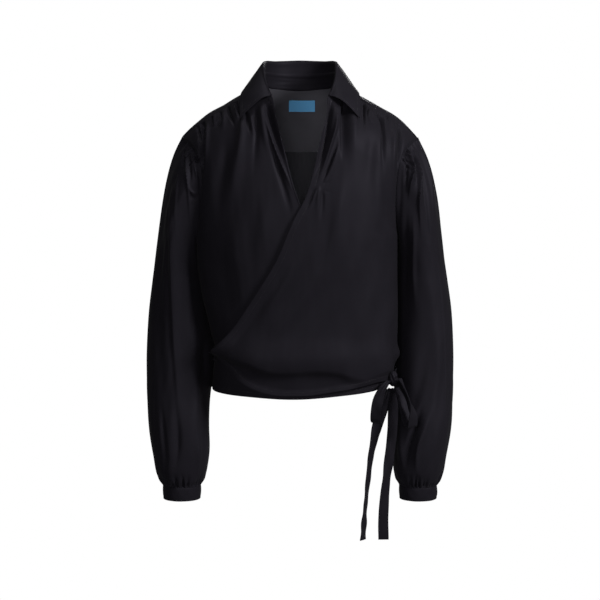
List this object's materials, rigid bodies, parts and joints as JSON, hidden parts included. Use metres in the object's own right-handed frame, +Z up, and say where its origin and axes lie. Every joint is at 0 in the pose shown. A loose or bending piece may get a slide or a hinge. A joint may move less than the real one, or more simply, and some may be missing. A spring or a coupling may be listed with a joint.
{
  "type": "wrap blouse",
  "caption": "Long-sleeved wrap blouse in black satin crepe, shown as worn: shirt collar, deep V neck, gathered shoulders and cuffs, and a waist tie in a side bow.",
  "frame": {"origin": "midway between the two side-neck points on the shoulder line, where the wearer's shoulders hold the blouse up", "axes": "+Z up, along the wearer's height; +X to the wearer's left, where the bow is; the front faces -Y"},
  "size_m": [0.5464, 0.2446, 0.8337],
  "materials": {
    "black_satin": "satin crepe",
    "label_blue": "woven, matte"
  },
  "bodies": {
    "root": {"back_panel": "black_satin", "back_yoke": "black_satin", "bow_knot": "black_satin", "bow_loop_front": "black_satin", "bow_loop_side": "black_satin", "collar_fall": "black_satin", "collar_stand": "black_satin", "cuff_left": "black_satin", "cuff_right": "black_satin", "front_over": "black_satin", "front_under": "black_satin", "neck_label": "label_blue", "sleeve_left": "black_satin", "sleeve_right": "black_satin", "tie_tail_front": "black_satin", "tie_tail_side": "black_satin", "tie_wrap": "black_satin"}
  },
  "joints": []
}
